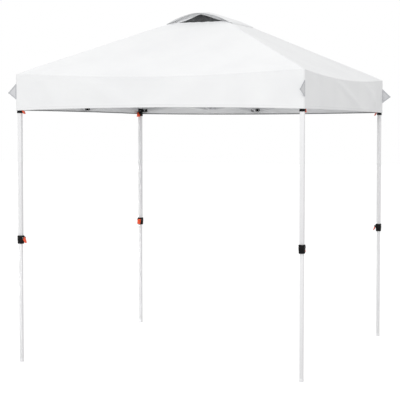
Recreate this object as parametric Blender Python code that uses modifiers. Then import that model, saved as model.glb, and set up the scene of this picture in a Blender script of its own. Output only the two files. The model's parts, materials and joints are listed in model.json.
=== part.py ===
"""Pop up canopy: a folding scissor frame on four telescopic legs under a vented fabric top.

Run with: blender --background --python part.py
Metres, +Z up. The origin is on the ground, at the centre of the four feet.
-Y is the front. Corners are fl, fr, br, bl and sides are front, right, back, left.
The frame stands fully open, with the legs locked at a middle height setting.
"""

import math

import bmesh
import bpy
from mathutils import Matrix, Vector

# ---- driving dimensions ----
LEG_SPACING = 2.390         # centre to centre of the legs
HALF = LEG_SPACING / 2
OUTER_TUBE = 0.032          # square outer tube of a leg
OUTER_BORE = 0.029
INNER_TUBE = 0.026          # square inner tube of a leg
INNER_BORE = 0.023
OUTER_BOTTOM = 1.000        # the outer tube stands on a step inside its clamp
OUTER_BORE_TOP = 2.295
INNER_TOP = 1.180
FOOT = 0.028
FOOT_H = 0.025
FLOOR_T = 0.012             # thickness of the closed bottom of the foot

PIVOT_UPPER = 2.285         # height of the upper pivots
PIVOT_LOWER = 2.083         # height of the lower pivots
LEG_PIVOT = 0.045           # from a leg's axis to its pivots
HUB_PIVOT = 0.030           # from a side hub's axis to its pivots
CENTRE_PIVOT = 0.045        # from the centre hub's axis to its pivots
REACH = HALF - LEG_PIVOT - HUB_PIVOT
RISE = PIVOT_UPPER - PIVOT_LOWER
BAR_LENGTH = math.hypot(REACH, RISE)
BAR_ANGLE = math.atan2(RISE, REACH)
BAR_HEIGHT = 0.025
BAR_THICK = 0.012
BAR_OFFSET = 0.007          # crossing bars lie this far to either side of the truss plane

CHEEK_IN = (-0.0023, 0.0005)
CHEEK_OUT = (0.0135, 0.0163)
CHEEK_PAST = 0.011          # a cheek runs this far past its pivot
LUG_HALF_H = 0.0125
SIDE_HUB_HALF = 0.0155
CENTRE_HUB_HALF = 0.028

BRACKET_HALF = 0.020        # cap on top of a leg
BRACKET_Z = (2.262, 2.335)
SLIDER_HALF = 0.0200
SLIDER_Z = (2.032, 2.104)
SLIDER_BORE = 0.0332
CLAMP_HALF = 0.0225
CLAMP_Z = (0.969, 1.036)
CLAMP_UPPER_BORE = 0.0326
CLAMP_LOWER_BORE = 0.0268
GAP = 0.0003                # between pieces that touch

LEVER_HALF_W = 0.016
LEVER_PIVOT = (0.0285, 1.018)
LEVER_OUTLINE = (
    (0.0250, 1.0215), (0.0285, 1.0235), (0.0335, 1.0215), (0.0480, 0.9770),
    (0.0440, 0.9755), (0.0300, 1.0020), (0.0250, 1.0080),
)
LATCH_HALF_W = 0.0075
LATCH_ASIDE = 0.0115        # the latch sits beside the lug on its face
LATCH_PIVOT = (0.0265, 2.064)
LATCH_OUTLINE = (
    (0.0234, 2.0670), (0.0265, 2.0690), (0.0300, 2.0670), (0.0450, 2.0275),
    (0.0412, 2.0260), (0.0275, 2.0500), (0.0234, 2.0570),
)

EAVE_HALF = 1.2185          # half width of the top at its eave
EAVE_Z = 2.345
EAVE_SAG = 0.040            # the eave hangs this much lower between two legs
VALANCE_Z = 2.052
# how much higher the lower hem is between two legs: front, right, back, left
VALANCE_LIFT = (0.018, 0.004, -0.010, 0.004)
FABRIC_T = 0.0016
VENT_HALF = 0.250           # the roof stops here and the vent cap covers the hole
VENT_Z = 2.805
CAP_HALF = 0.290
CAP_CORNER_Z = 2.789
CAP_ARCH = 0.088            # the cap's hem arches up this much over its front and back openings
CAP_SIDE_RISE = 0.014       # and only this much on its left and right
CAP_TOP = 2.909
TAB_LENGTH = 0.080
TAB_Z = (2.143, 2.266)
TAB_TIP_Z = 2.196
TAB_TURN = math.radians(10.0)

POLE_RADIUS = 0.0125
POLE_TOP = 2.888

CORNERS = {"fl": (-1, -1), "fr": (1, -1), "br": (1, 1), "bl": (-1, 1)}
# the way each corner's lever and latch face
FACES = {"fl": (1, 0), "fr": (0, 1), "br": (-1, 0), "bl": (0, -1)}
# each leg turns on the end of the truss that runs this way to it
HUNG_FROM = {"fl": (0, -1), "fr": (1, 0), "br": (0, 1), "bl": (-1, 0)}
SIDES = {"front": (0, -1), "right": (1, 0), "back": (0, 1), "left": (-1, 0)}
# the two corners that each side hub reaches, with the way to them
REACHES = {
    "front": (("fl", (-1, 0)), ("fr", (1, 0))),
    "right": (("fr", (0, -1)), ("br", (0, 1))),
    "back": (("br", (1, 0)), ("bl", (-1, 0))),
    "left": (("bl", (0, 1)), ("fl", (0, -1))),
}

STEEL = ((0.86, 0.87, 0.88, 1.0), 0.35, 0.0)
BLACK = ((0.012, 0.012, 0.013, 1.0), 0.45, 0.0)
ORANGE = ((0.75, 0.07, 0.02, 1.0), 0.40, 0.0)
FABRIC = ((0.88, 0.89, 0.90, 1.0), 0.85, 0.0)


# ---- scene set-up ----
for old in list(bpy.data.objects):
    bpy.data.objects.remove(old, do_unlink=True)

PARTS = bpy.data.collections.new("pop_up_canopy")
CUTTERS = bpy.data.collections.new("cutters")
bpy.context.scene.collection.children.link(PARTS)
bpy.context.scene.collection.children.link(CUTTERS)
ROOT = bpy.data.objects.new("canopy_origin", None)
PARTS.objects.link(ROOT)


def paint(obj, look):
    """Gives one object a material of its own."""
    colour, rough, metal = look
    mat = bpy.data.materials.new(obj.name + "_mat")
    mat.use_nodes = True
    shader = mat.node_tree.nodes["Principled BSDF"]
    shader.inputs["Base Color"].default_value = colour
    shader.inputs["Roughness"].default_value = rough
    shader.inputs["Metallic"].default_value = metal
    obj.data.materials.append(mat)


def place(obj, look, location=(0, 0, 0), rotation=(0, 0, 0)):
    """Links a finished piece, at its joint's point in the world."""
    PARTS.objects.link(obj)
    obj.parent = ROOT
    obj.location = location
    obj.rotation_euler = rotation
    paint(obj, look)
    return obj


def box_mesh(name, boxes, origin=(0, 0, 0)):
    """A mesh of boxes that are clear of each other, each a (low, high) pair in world metres."""
    bm = bmesh.new()
    base = Vector(origin)
    for low, high in boxes:
        low, high = Vector(low), Vector(high)
        centre = (low + high) / 2 - base
        size = high - low
        matrix = Matrix.Translation(centre) @ Matrix.Diagonal((*size, 1.0))
        bmesh.ops.create_cube(bm, size=1.0, matrix=matrix)
    mesh = bpy.data.meshes.new(name)
    bm.to_mesh(mesh)
    bm.free()
    return mesh


def cutter(name, mesh, location=(0, 0, 0)):
    """A helper shape for a Boolean, which isn't a piece of the canopy."""
    obj = bpy.data.objects.new(name, mesh)
    CUTTERS.objects.link(obj)
    obj.location = location
    obj.hide_render = True
    obj.display_type = "WIRE"
    return obj


def boolean(obj, other, operation):
    mod = obj.modifiers.new(operation.lower(), "BOOLEAN")
    mod.operation = operation
    mod.solver = "EXACT"
    mod.object = other


def bevel(obj, width):
    mod = obj.modifiers.new("bevel", "BEVEL")
    mod.width = width
    mod.segments = 1
    mod.limit_method = "ANGLE"


def square(x, y, half, z):
    """A box around the vertical line at x, y."""
    return ((x - half, y - half, z[0]), (x + half, y + half, z[1]))


def cheeks(x, y, arm, across, start, pivot, z):
    """The two cheeks that hold a bar's end: arm points along the bar, across to its side."""
    arm, across, boxes = Vector((*arm, 0)), Vector((*across, 0)), []
    for near, far in (CHEEK_IN, CHEEK_OUT):
        a = arm * (start - 0.002) + across * near
        b = arm * (pivot + CHEEK_PAST) + across * far
        low = (x + min(a.x, b.x), y + min(a.y, b.y), z - LUG_HALF_H)
        high = (x + max(a.x, b.x), y + max(a.y, b.y), z + LUG_HALF_H)
        boxes.append((low, high))
    return boxes


def left_of(way):
    """The horizontal way a quarter turn anticlockwise of another, which is Z cross it."""
    return (-way[1], way[0])


def times(way, factor):
    return (way[0] * factor, way[1] * factor)


def turned(way):
    """The angle of a horizontal way about Z."""
    return math.atan2(way[1], way[0])


# ---- scissor bars ----
def bar_curve(name, start, end):
    """A flat bar with round ends, along local X, with its thickness along local Z."""
    curve = bpy.data.curves.new(name, "CURVE")
    curve.dimensions = "2D"
    curve.fill_mode = "BOTH"
    curve.extrude = BAR_THICK / 2
    radius, points = BAR_HEIGHT / 2, []
    for centre, first in ((end, -90), (start, 90)):
        for step in range(9):
            angle = math.radians(first + step * 22.5)
            points.append((centre + radius * math.cos(angle), radius * math.sin(angle)))
    spline = curve.splines.new("POLY")
    spline.points.add(len(points) - 1)
    for point, (x, y) in zip(spline.points, points):
        point.co = (x, y, 0.0, 1.0)
    spline.use_cyclic_u = True
    return curve


def bar(name, curve, point, way, slope):
    """Places a bar: way is its horizontal direction and slope is +1 where it rises along it."""
    run = Vector((*way, 0)) * math.cos(BAR_ANGLE) + Vector((0, 0, 1)) * math.sin(BAR_ANGLE) * slope
    side = Vector((*left_of(way), 0))
    up = side.cross(run) * -1
    matrix = Matrix((run, up, run.cross(up))).transposed()
    obj = bpy.data.objects.new(name, curve)
    place(obj, STEEL, Vector(point) + side * BAR_OFFSET * slope, matrix.to_euler())
    return obj


HINGED_AT_END = bar_curve("bar_hinged_at_its_end", 0.0, BAR_LENGTH)
HINGED_MIDWAY = bar_curve("bar_hinged_midway", -BAR_LENGTH / 2, BAR_LENGTH / 2)


def scissor(names, axis_x, axis_y, way, inner_pivot, falling_first):
    """One X of two bars from the inner hub's axis; the first bar hangs from the inner hub."""
    near = Vector((axis_x + way[0] * inner_pivot, axis_y + way[1] * inner_pivot, 0))
    middle = near + Vector((*way, 0)) * REACH / 2 + Vector((0, 0, (PIVOT_UPPER + PIVOT_LOWER) / 2))
    slope = -1 if falling_first else 1
    height = PIVOT_UPPER if falling_first else PIVOT_LOWER
    bar(names[0], HINGED_AT_END, near + Vector((0, 0, height)), way, slope)
    bar(names[1], HINGED_MIDWAY, middle, way, -slope)


def scissors():
    for side, way in SIDES.items():
        scissor((f"inner_bar_a_{side}", f"inner_bar_b_{side}"), 0, 0, way, CENTRE_PIVOT, True)
        for corner, along in REACHES[side]:
            names = (f"side_bar_a_{side}_{corner}", f"side_bar_b_{side}_{corner}")
            scissor(names, way[0] * HALF, way[1] * HALF, along, HUB_PIVOT, False)


# ---- hubs ----
def hub(name, x, y, half, arms, z, origin):
    """A hub block with two cheeks for each arm: (way, across, distance of its pivot)."""
    core = box_mesh(name, [square(x, y, half, (z - LUG_HALF_H, z + LUG_HALF_H))], origin)
    obj = bpy.data.objects.new(name, core)
    place(obj, BLACK, origin)
    boxes = []
    for way, across, pivot in arms:
        boxes += cheeks(x, y, way, across, half, pivot, z)
    boolean(obj, cutter(name + "_lugs", box_mesh(name + "_lugs", boxes)), "UNION")
    return obj


def hubs():
    for level, z in (("upper", PIVOT_UPPER), ("lower", PIVOT_LOWER)):
        rising = 1 if level == "lower" else -1
        arms = [(w, times(left_of(w), rising), CENTRE_PIVOT) for w in SIDES.values()]
        front = SIDES["front"]
        origin = (0, 0, z) if level == "upper" else (0, front[1] * CENTRE_PIVOT, z)
        hub(f"centre_hub_{level}", 0, 0, CENTRE_HUB_HALF, arms, z, origin)
        for side, way in SIDES.items():
            x, y = way[0] * HALF, way[1] * HALF
            arms = [(times(way, -1), times(left_of(way), -rising), HUB_PIVOT)]
            arms += [(w, times(left_of(w), rising), HUB_PIVOT) for _, w in REACHES[side]]
            origin = (x - way[0] * HUB_PIVOT, y - way[1] * HUB_PIVOT, z)
            hub(f"side_hub_{level}_{side}", x, y, SIDE_HUB_HALF, arms, z, origin)


# ---- legs ----
def leg_arms(corner):
    """The ways from a leg to its two side hubs, with the way each truss was laid out in."""
    return [along for pairs in REACHES.values() for name, along in pairs if name == corner]


def leg_lugs(corner, x, y, half, z, rising):
    boxes = []
    for along in leg_arms(corner):
        across = times(left_of(along), rising)
        boxes += cheeks(x, y, times(along, -1), across, half, LEG_PIVOT, z)
    return boxes


def profile_curve(name, outline, pivot, half_width):
    """A lever's side view as a flat outline, with its pivot at the origin."""
    curve = bpy.data.curves.new(name, "CURVE")
    curve.dimensions = "2D"
    curve.fill_mode = "BOTH"
    curve.extrude = half_width
    spline = curve.splines.new("POLY")
    spline.points.add(len(outline) - 1)
    for point, (r, z) in zip(spline.points, outline):
        point.co = (r - pivot[0], z - pivot[1], 0.0, 1.0)
    spline.use_cyclic_u = True
    return curve


def upper_leg(corner, x, y):
    """The outer tube with the bracket on its top that holds the two trusses."""
    name, way = f"leg_upper_{corner}", HUNG_FROM[corner]
    origin = (x - way[0] * LEG_PIVOT, y - way[1] * LEG_PIVOT, PIVOT_UPPER)
    obj = bpy.data.objects.new(name, box_mesh(name, [square(x, y, BRACKET_HALF, BRACKET_Z)], origin))
    place(obj, STEEL, origin)
    bevel(obj, 0.002)
    joined = [square(x, y, OUTER_TUBE / 2, (OUTER_BOTTOM + GAP, BRACKET_Z[1] - 0.010))]
    joined += leg_lugs(corner, x, y, BRACKET_HALF, PIVOT_UPPER, 1)
    boolean(obj, cutter(name + "_tube", box_mesh(name + "_tube", joined)), "UNION")
    bore = [square(x, y, OUTER_BORE / 2, (OUTER_BOTTOM - 0.02, OUTER_BORE_TOP))]
    boolean(obj, cutter(name + "_bore", box_mesh(name + "_bore", bore)), "DIFFERENCE")


def lower_leg(corner, x, y):
    """The inner tube with its foot; it slides in the outer tube."""
    name = f"leg_lower_{corner}"
    obj = bpy.data.objects.new(name, box_mesh(name, [square(x, y, FOOT / 2, (0, FOOT_H))], (x, y, 0)))
    place(obj, STEEL, (x, y, 0))
    bevel(obj, 0.0015)
    tube = [square(x, y, INNER_TUBE / 2, (0.005, INNER_TOP))]
    boolean(obj, cutter(name + "_tube", box_mesh(name + "_tube", tube)), "UNION")
    bore = [square(x, y, INNER_BORE / 2, (FLOOR_T, INNER_TOP + 0.02))]
    boolean(obj, cutter(name + "_bore", box_mesh(name + "_bore", bore)), "DIFFERENCE")


def clamp(corner, x, y):
    """The height clamp around the joint of the two tubes, with the lugs of its lever."""
    name, way = f"height_clamp_{corner}", FACES[corner]
    centre = (x, y, (CLAMP_Z[0] + CLAMP_Z[1]) / 2)
    obj = bpy.data.objects.new(name, box_mesh(name, [square(x, y, CLAMP_HALF, CLAMP_Z)], centre))
    place(obj, BLACK, centre)
    bevel(obj, 0.003)
    side, lugs = left_of(way), []
    for sign in (-1, 1):
        near, far = sign * (LEVER_HALF_W + 0.0006), sign * (LEVER_HALF_W + 0.0036)
        a = (way[0] * 0.0195 + side[0] * near, way[1] * 0.0195 + side[1] * near)
        b = (way[0] * 0.0345 + side[0] * far, way[1] * 0.0345 + side[1] * far)
        low = (x + min(a[0], b[0]), y + min(a[1], b[1]), 1.006)
        high = (x + max(a[0], b[0]), y + max(a[1], b[1]), 1.027)
        lugs.append((low, high))
    boolean(obj, cutter(name + "_lugs", box_mesh(name + "_lugs", lugs)), "UNION")
    through = [square(x, y, CLAMP_LOWER_BORE / 2, (CLAMP_Z[0] - 0.01, CLAMP_Z[1] + 0.01))]
    boolean(obj, cutter(name + "_bore", box_mesh(name + "_bore", through)), "DIFFERENCE")
    seat = [square(x, y, CLAMP_UPPER_BORE / 2, (OUTER_BOTTOM, CLAMP_Z[1] + 0.01))]
    boolean(obj, cutter(name + "_seat", box_mesh(name + "_seat", seat)), "DIFFERENCE")


def slider(corner, x, y):
    """The slider that runs on the outer tube and carries the trusses' lower ends."""
    name, way = f"slider_{corner}", HUNG_FROM[corner]
    origin = (x - way[0] * LEG_PIVOT, y - way[1] * LEG_PIVOT, PIVOT_LOWER)
    obj = bpy.data.objects.new(name, box_mesh(name, [square(x, y, SLIDER_HALF, SLIDER_Z)], origin))
    place(obj, BLACK, origin)
    bevel(obj, 0.002)
    lugs = leg_lugs(corner, x, y, SLIDER_HALF, PIVOT_LOWER, -1)
    boolean(obj, cutter(name + "_lugs", box_mesh(name + "_lugs", lugs)), "UNION")
    bore = [square(x, y, SLIDER_BORE / 2, (SLIDER_Z[0] - 0.01, SLIDER_Z[1] + 0.01))]
    boolean(obj, cutter(name + "_bore", box_mesh(name + "_bore", bore)), "DIFFERENCE")


def lever(name, curve, corner, x, y, pivot, aside=0.0):
    """A pull lever hinged at its top, on the side of the leg that FACES names."""
    way, side = FACES[corner], left_of(FACES[corner])
    x, y = x + way[0] * pivot[0] - side[0] * aside, y + way[1] * pivot[0] - side[1] * aside
    location = (x, y, pivot[1])
    place(bpy.data.objects.new(name, curve), ORANGE, location, (math.pi / 2, 0, turned(way)))


def legs():
    pull = profile_curve("clamp_lever_outline", LEVER_OUTLINE, LEVER_PIVOT, LEVER_HALF_W)
    catch = profile_curve("slider_latch_outline", LATCH_OUTLINE, LATCH_PIVOT, LATCH_HALF_W)
    for corner, (sx, sy) in CORNERS.items():
        x, y = sx * HALF, sy * HALF
        upper_leg(corner, x, y)
        lower_leg(corner, x, y)
        clamp(corner, x, y)
        slider(corner, x, y)
        lever(f"clamp_lever_{corner}", pull, corner, x, y, LEVER_PIVOT)
        lever(f"slider_latch_{corner}", catch, corner, x, y, LATCH_PIVOT, LATCH_ASIDE)


# ---- peak pole ----
def peak_pole():
    """A turned pole on the upper centre hub, with a round head under the vent cap."""
    foot = PIVOT_UPPER + LUG_HALF_H + GAP
    outline = (
        (0.0, POLE_TOP), (0.012, POLE_TOP - 0.0015), (0.022, POLE_TOP - 0.006),
        (0.026, POLE_TOP - 0.012), (0.024, POLE_TOP - 0.018), (POLE_RADIUS, POLE_TOP - 0.030),
        (POLE_RADIUS, foot), (0.0, foot),
    )
    mesh = bpy.data.meshes.new("peak_pole")
    points = [(r, 0.0, z - foot) for r, z in outline]
    mesh.from_pydata(points, [(i, i + 1) for i in range(len(points) - 1)], [])
    obj = bpy.data.objects.new("peak_pole", mesh)
    place(obj, STEEL, (0, 0, foot))
    screw = obj.modifiers.new("turn", "SCREW")
    screw.steps = 20
    screw.render_steps = 20
    screw.use_merge_vertices = True
    screw.merge_threshold = 0.0001
    screw.use_smooth_shade = True


# ---- fabric top ----
def roof_point(u, t, quarter):
    """A point of one roof panel: u runs from the vent's edge to the eave, t from hip to hip."""
    reach = VENT_HALF + (EAVE_HALF - VENT_HALF) * u
    hip = VENT_Z + (EAVE_Z - VENT_Z) * u
    return (reach * t, -reach, hip - EAVE_SAG * u ** 1.3 * (1 - t * t))


def valance_point(u, t, quarter):
    """A point of one valance panel: u runs from the eave to the lower hem."""
    top = EAVE_Z - EAVE_SAG * (1 - t * t)
    low = VALANCE_Z + VALANCE_LIFT[quarter] * (1 - t * t)
    return (EAVE_HALF * t, -EAVE_HALF, top + (low - top) * u)


def cap_point(u, t, quarter):
    """A point of one panel of the vent cap: u runs from the peak to the hem."""
    reach = CAP_HALF * u
    hip = CAP_TOP + (CAP_CORNER_Z - CAP_TOP) * u
    rise = CAP_SIDE_RISE if quarter % 2 else CAP_ARCH
    return (reach * t, -reach, hip + rise * u * (1 - t * t))


def four_panels(name, surfaces):
    """Each panel's rule on all four sides, joined at the hips into one open surface."""
    bm = bmesh.new()
    for quarter in range(4):
        turn = Matrix.Rotation(math.radians(90 * quarter), 4, "Z")
        for rule, across, down in surfaces:
            grid = bmesh.ops.create_grid(bm, x_segments=across, y_segments=down, size=1.0)
            for vert in grid["verts"]:
                vert.co = turn @ Vector(rule((1 - vert.co.y) / 2, vert.co.x, quarter))
    bmesh.ops.remove_doubles(bm, verts=bm.verts[:], dist=0.0001)
    mesh = bpy.data.meshes.new(name)
    bm.to_mesh(mesh)
    bm.free()
    return mesh


def thicken(obj):
    mod = obj.modifiers.new("thickness", "SOLIDIFY")
    mod.thickness = FABRIC_T
    mod.offset = -1.0
    mod.use_even_offset = True


def tabs_mesh():
    """Four triangular guy-rope tabs, each on the corner of the valance that is turned to it."""
    bm = bmesh.new()
    half = 0.0012
    for sx, sy in CORNERS.values():
        quarter = {(1, -1): 0, (1, 1): 1, (-1, 1): 2, (-1, -1): 3}[(sx, sy)]
        turn = Matrix.Rotation(math.radians(90 * quarter), 4, "Z")
        way = turn @ (Matrix.Rotation(-TAB_TURN, 4, "Z") @ Vector((0, -1, 0)))
        side = Vector((-way.y, way.x, 0)) * half
        corner = Vector((sx * (EAVE_HALF - 0.0006), sy * (EAVE_HALF - 0.0006), 0)) - way * 0.0012
        outline = []
        for reach, z in ((0, TAB_Z[0]), (TAB_LENGTH, TAB_TIP_Z - 0.006),
                         (TAB_LENGTH, TAB_TIP_Z + 0.006), (0, TAB_Z[1])):
            outline.append(corner + way * reach + Vector((0, 0, z)))
        near = [bm.verts.new(point - side) for point in outline]
        face = bm.faces.new(near)
        extruded = bmesh.ops.extrude_face_region(bm, geom=[face])
        moved = [item for item in extruded["geom"] if isinstance(item, bmesh.types.BMVert)]
        bmesh.ops.translate(bm, verts=moved, vec=side * 2)
    bmesh.ops.recalc_face_normals(bm, faces=bm.faces[:])
    mesh = bpy.data.meshes.new("tabs")
    bm.to_mesh(mesh)
    bm.free()
    return mesh


def canopy_top():
    """Roof, valance, vent cap and tabs as one sewn shell."""
    panels = four_panels("canopy_top", ((roof_point, 12, 6), (valance_point, 12, 2)))
    obj = bpy.data.objects.new("canopy_top", panels)
    place(obj, FABRIC)
    thicken(obj)
    cap = cutter("vent_cap_shell", four_panels("vent_cap_shell", ((cap_point, 10, 4),)))
    thicken(cap)
    patches = []
    for sx, sy in CORNERS.values():
        x, y = sx * (CAP_HALF - 0.007), sy * (CAP_HALF - 0.007)
        patches.append(square(x, y, 0.009, (CAP_CORNER_Z - 0.010, CAP_CORNER_Z + 0.006)))
    joined = cutter("vent_cap_patches", box_mesh("vent_cap_patches", patches))
    boolean(obj, joined, "UNION")
    boolean(obj, cap, "UNION")
    boolean(obj, cutter("guy_tabs", tabs_mesh()), "UNION")


scissors()
hubs()
legs()
peak_pole()
canopy_top()
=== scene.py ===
"""Looks for the pop up canopy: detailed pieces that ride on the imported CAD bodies."""
import json
from math import atan2, copysign, cos, exp, hypot, pi, radians, sin

import bmesh
import bpy
from mathutils import Matrix, Vector, noise

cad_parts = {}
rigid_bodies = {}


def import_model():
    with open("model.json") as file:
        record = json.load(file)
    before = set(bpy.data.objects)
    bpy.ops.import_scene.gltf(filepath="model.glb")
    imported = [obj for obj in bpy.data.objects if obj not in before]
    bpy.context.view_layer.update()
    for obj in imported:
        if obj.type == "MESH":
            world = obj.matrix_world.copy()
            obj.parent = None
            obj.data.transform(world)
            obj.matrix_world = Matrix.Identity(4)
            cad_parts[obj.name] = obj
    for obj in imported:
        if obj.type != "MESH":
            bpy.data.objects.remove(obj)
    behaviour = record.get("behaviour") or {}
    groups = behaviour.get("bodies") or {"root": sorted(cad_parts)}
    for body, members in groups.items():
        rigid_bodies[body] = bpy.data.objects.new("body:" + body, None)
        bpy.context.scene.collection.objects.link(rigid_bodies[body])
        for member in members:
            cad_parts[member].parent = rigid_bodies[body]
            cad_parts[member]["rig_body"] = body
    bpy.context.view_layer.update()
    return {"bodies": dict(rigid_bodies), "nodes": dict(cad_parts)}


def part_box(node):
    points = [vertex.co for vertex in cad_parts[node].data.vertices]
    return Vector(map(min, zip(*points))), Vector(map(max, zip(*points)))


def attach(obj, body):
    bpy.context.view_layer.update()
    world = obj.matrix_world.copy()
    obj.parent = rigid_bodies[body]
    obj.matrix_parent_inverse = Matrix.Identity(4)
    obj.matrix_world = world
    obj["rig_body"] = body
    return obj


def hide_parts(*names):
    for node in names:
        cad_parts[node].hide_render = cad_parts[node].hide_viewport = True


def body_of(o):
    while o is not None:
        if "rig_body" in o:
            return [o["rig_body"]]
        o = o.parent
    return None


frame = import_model()

# ---- places read from the frame ----
CORNERS = {"fl": (-1, -1), "fr": (1, -1), "br": (1, 1), "bl": (-1, 1)}
FACES = {"fl": (1, 0), "fr": (0, 1), "br": (-1, 0), "bl": (0, -1)}
SIDES = {"front": (0, -1), "right": (1, 0), "back": (0, 1), "left": (-1, 0)}
REACHES = {
    "front": (("fl", (-1, 0)), ("fr", (1, 0))),
    "right": (("fr", (0, -1)), ("br", (0, 1))),
    "back": (("br", (1, 0)), ("bl", (-1, 0))),
    "left": (("bl", (0, 1)), ("fl", (0, -1))),
}


def middle(node):
    low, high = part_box(node)
    return (low + high) / 2


def z_of(node):
    low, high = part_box(node)
    return low.z, high.z


HALF = middle("leg_lower_fr").x
UPPER_Z = middle("centre_hub_upper").z
LOWER_Z = middle("centre_hub_lower").z
TUBE_Z = z_of("leg_upper_fl")
INNER_Z = z_of("leg_lower_fl")
CLAMP_Z = z_of("height_clamp_fl")
SLIDER_Z = z_of("slider_fl")
POLE_Z = z_of("peak_pole")

# ---- the CAD's own sizes, in metres ----
OUTER, OUTER_BORE = 0.032, 0.029
INNER, INNER_BORE = 0.026, 0.023
FOOT, FOOT_H = 0.028, 0.025
BRACKET_HALF, BRACKET_LOW = 0.020, 2.262
SLIDER_HALF, SLIDER_BORE = 0.020, 0.0332
CLAMP_HALF, CLAMP_STEP = 0.0225, 1.000
LEG_PIVOT, HUB_PIVOT, CENTRE_PIVOT = 0.045, 0.030, 0.045
REACH = HALF - LEG_PIVOT - HUB_PIVOT
BAR_LENGTH = hypot(REACH, UPPER_Z - LOWER_Z)
BAR_ANGLE = atan2(UPPER_Z - LOWER_Z, REACH)
BAR_H, BAR_T, BAR_OFFSET = 0.025, 0.012, 0.007
CHEEK_IN, CHEEK_OUT, CHEEK_PAST = (-0.0023, 0.0005), (0.0135, 0.0163), 0.011
LUG_H = UPPER_Z - z_of("centre_hub_upper")[0]
SIDE_HUB_HALF, CENTRE_HUB_HALF = 0.0155, 0.028
LEVER_HALF_W, LEVER_PIVOT = 0.016, (0.0285, 1.018)
LEVER_OUTLINE = (
    (0.0250, 1.0215), (0.0285, 1.0235), (0.0335, 1.0215), (0.0480, 0.9770),
    (0.0440, 0.9755), (0.0300, 1.0020), (0.0250, 1.0080),
)
LATCH_HALF_W, LATCH_ASIDE = 0.0075, 0.0115
LATCH_OUTLINE = (
    (0.0234, 2.0670), (0.0265, 2.0690), (0.0300, 2.0670), (0.0450, 2.0275),
    (0.0412, 2.0260), (0.0275, 2.0500), (0.0234, 2.0570),
)
EAVE, EAVE_Z, EAVE_SAG = 1.2185, 2.345, 0.040
HEM_Z, HEM_LIFT = 2.052, (0.018, 0.004, -0.010, 0.004)  # front, right, back, left
VENT, VENT_Z = 0.250, 2.805
CAP, CAP_CORNER_Z, CAP_ARCH, CAP_SIDE_RISE, CAP_TOP = 0.290, 2.789, 0.088, 0.014, 2.909
TAB_LENGTH, TAB_Z, TAB_TIP_Z, TAB_TURN = 0.080, (2.143, 2.266), 2.196, radians(10.0)
# the foot and the head of the vent's upright panels
VENT_FOOT, VENT_HEAD = VENT + 0.004, VENT - 0.022

# ---- cloth and its seams, in metres unless said ----
# the last thickness is that of the dark strip of painted shade inside the hem
CLOTH, NET_CLOTH, HEM_SHADE_THICK = 0.0009, 0.0006, 0.0005
SEAM, SEAM_PROUD = 0.0125, 0.00015
CORNER_ROUND = 0.008
CAP_SCALE = 0.12  # nearer the cap's peak its seams get finer
SPREAD = 56  # faces across one panel between its hips
YARN_SCALE, STITCH_SCALE, FABRIC_ROUGH = 420.0, 95.0, 0.78
SMOOTH_ANGLE = 32.0  # degrees: sharper edges are shaded as edges
LOCK_HOLES, LOCK_HOLE_RADIUS = (0.904, 1.060, 1.150), 0.0042
TURNS = [Matrix.Rotation(radians(90 * quarter), 4, "Z") for quarter in range(4)]
FLIPPED = Matrix(((1, 0, 0, 0), (0, 0, 1, 0), (0, 1, 0, 0), (0, 0, 0, 1)))  # trades Y and Z


# ---- materials ----
class Nodes:
    """A few lines of shorthand for a procedural material."""

    def __init__(self, name):
        self.mat = bpy.data.materials.new(name)
        self.mat.use_nodes = True
        self.tree = self.mat.node_tree
        self.shader = self.tree.nodes["Principled BSDF"]
        self.where = self.add("TexCoord")

    def add(self, kind, **settings):
        node = self.tree.nodes.new("ShaderNode" + kind)
        for key, value in settings.items():
            if hasattr(node, key):
                setattr(node, key, value)
            else:
                node.inputs[key.replace("_", " ")].default_value = value
        return node

    def link(self, a, out, b, into):
        self.tree.links.new(a.outputs[out], b.inputs[into])

    def set(self, **values):
        for key, value in values.items():
            self.shader.inputs[key.replace("_", " ")].default_value = value

    def ramp(self, source, out, stops):
        node = self.add("ValToRGB")
        elements = node.color_ramp.elements
        while len(elements) < len(stops):
            elements.new(0.5)
        for element, (place, colour) in zip(elements, stops):
            element.position = place
            element.color = (*colour, 1.0)
        self.link(source, out, node, "Fac")
        return node

    def noise(self, scale, detail, rough=0.5):
        node = self.add("TexNoise", Scale=scale, Detail=detail, Roughness=rough)
        self.link(self.where, "Object", node, "Vector")
        return node

    def edges(self, low, high, white):
        """Light on the mesh's outer edges, from 0 to white."""
        shape = self.add("NewGeometry")
        return self.ramp(shape, "Pointiness", ((low, (0, 0, 0)), (high, (white,) * 3)))

    def paint(self, tone):
        self.link(tone, "Color", self.shader, "Base Color")

    def product(self, a, out, b, other):
        node = self.add("Math", operation="MULTIPLY")
        self.link(a, out, node, 0)
        self.link(b, other, node, 1)
        return node

    def coloured(self, amount, out, tone, over):
        """The base colour: tone, with a plain colour over it by amount."""
        mix = self.add("Mix", data_type="RGBA")
        self.link(amount, out, mix, "Factor")
        self.link(tone, "Color", mix, 6)
        mix.inputs[7].default_value = (*over, 1.0)
        self.link(mix, 2, self.shader, "Base Color")

    def gloss(self, source, low, high):
        """Roughness from a height field: low and high are (place, value)."""
        stops = [(place, (value,) * 3) for place, value in (low, high)]
        self.link(self.ramp(source, "Fac", stops), "Color", self.shader, "Roughness")

    def bump(self, sources, strength, distance):
        """Chains height fields into one bump."""
        last = None
        for (node, out), depth in zip(sources, distance):
            bump = self.add("Bump", Strength=strength, Distance=depth)
            self.link(node, out, bump, "Height")
            if last:
                self.link(last, "Normal", bump, "Normal")
            last = bump
        self.link(last, "Normal", self.shader, "Normal")


def weave(kit):
    """Two crossed sets of yarn from the sheet's own lengthwise and crosswise metres."""
    uv = kit.add("UVMap", uv_map="Metres")
    waves = []
    for direction in ("X", "Y"):
        wave = kit.add("TexWave", bands_direction=direction, Scale=YARN_SCALE,
                       Distortion=0.4, Detail=1.0)
        kit.link(uv, "UV", wave, "Vector")
        waves.append(wave)
    return kit.product(waves[0], "Fac", waves[1], "Fac")


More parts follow.
